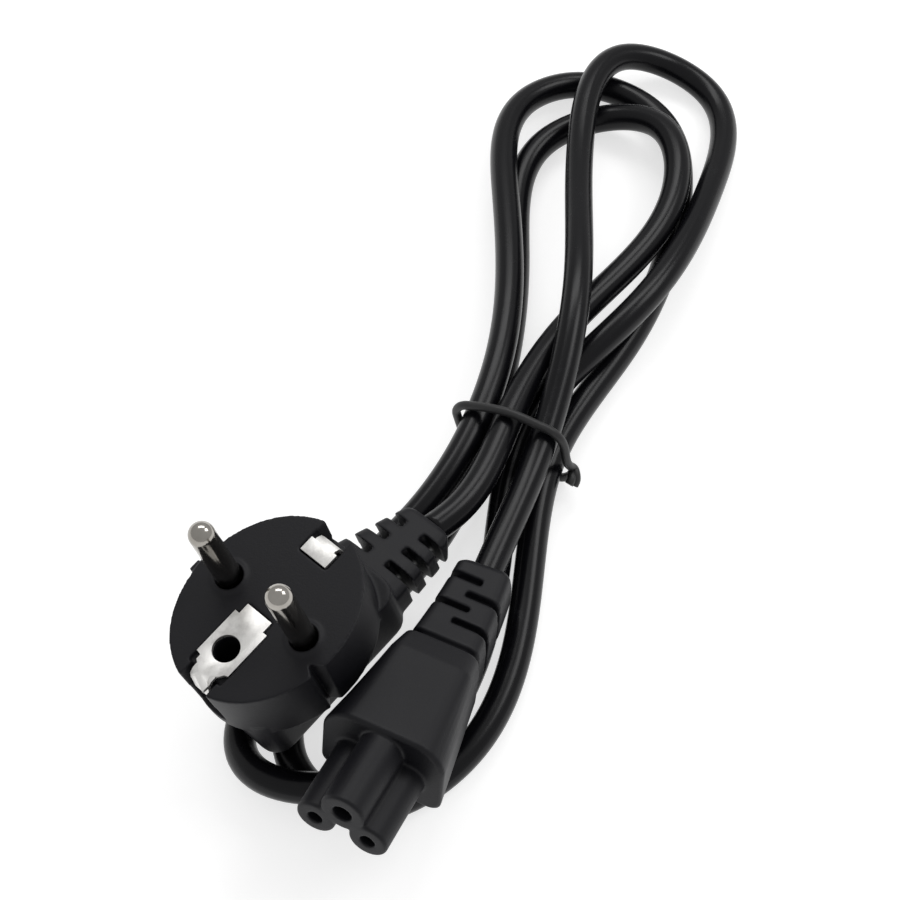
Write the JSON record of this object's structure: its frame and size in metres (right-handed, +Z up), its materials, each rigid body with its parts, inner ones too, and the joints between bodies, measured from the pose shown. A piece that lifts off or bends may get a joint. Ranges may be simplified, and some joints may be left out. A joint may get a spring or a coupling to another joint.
{
  "type": "power cord",
  "caption": "Black mains lead tied in a figure of loops, with a round earthed two-pin angled plug at one end and a small three-hole appliance connector at the other.",
  "frame": {"origin": "middle of the outline on the table, at the lowest point", "axes": "+Z up from the table; +Y toward the far loops of the cord; the plug and the connector lie toward -Y; +X to the right as seen from the plug end"},
  "size_m": [0.1134, 0.1992, 0.0548],
  "materials": {
    "plug_pvc": "satin black moulded PVC",
    "cord_pvc": "satin black PVC sheath",
    "nickel": "bright nickel plating",
    "tie_plastic": "black plastic-covered wire"
  },
  "bodies": {
    "root": {"plug_body": "plug_pvc", "pin_left": "nickel", "pin_right": "nickel", "earth_contact": "nickel", "earth_clip": "nickel", "connector_body": "plug_pvc", "cord": "cord_pvc", "wire_tie": "tie_plastic"}
  },
  "joints": []
}
